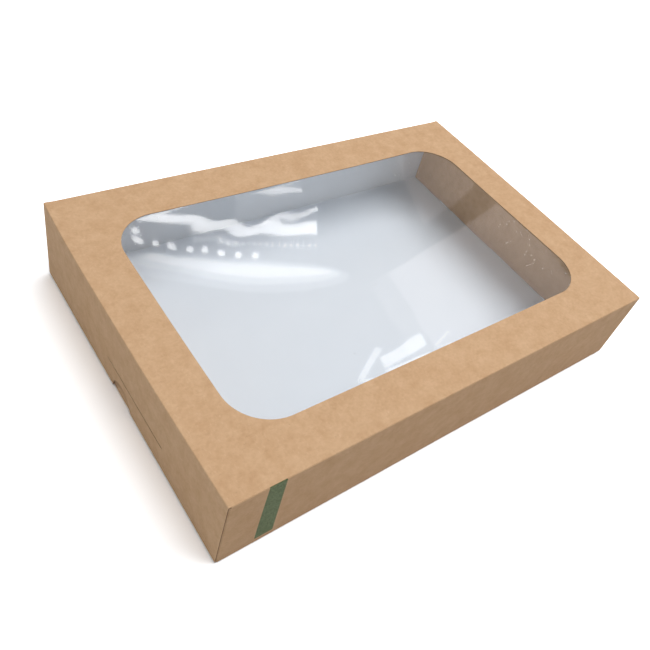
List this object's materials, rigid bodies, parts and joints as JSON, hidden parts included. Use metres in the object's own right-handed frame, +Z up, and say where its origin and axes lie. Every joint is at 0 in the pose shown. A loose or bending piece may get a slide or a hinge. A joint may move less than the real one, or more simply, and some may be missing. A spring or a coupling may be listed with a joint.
{
  "type": "grazing box",
  "caption": "Shallow rectangular folded-board catering box with a hinged full-depth lid and a large rounded window of clear film.",
  "frame": {"origin": "centre of the base, on the surface the box stands on", "axes": "+X along the front, the longest side; +Y from the front to the hinged back; +Z up"},
  "size_m": [0.45, 0.31, 0.08],
  "materials": {
    "kraft_board": "matte natural kraft outside, white coated inside",
    "clear_film": "clear gloss film"
  },
  "bodies": {
    "tray": {"tray": "kraft_board"},
    "lid": {"lid": "kraft_board", "window_film": "clear_film"}
  },
  "joints": [
    {"name": "lid_hinge", "type": "hinge", "parent": "tray", "child": "lid", "pos_m": [0, 0.155, 0.08], "axis": [-1, 0, 0], "range_deg": [0, 180]}
  ]
}
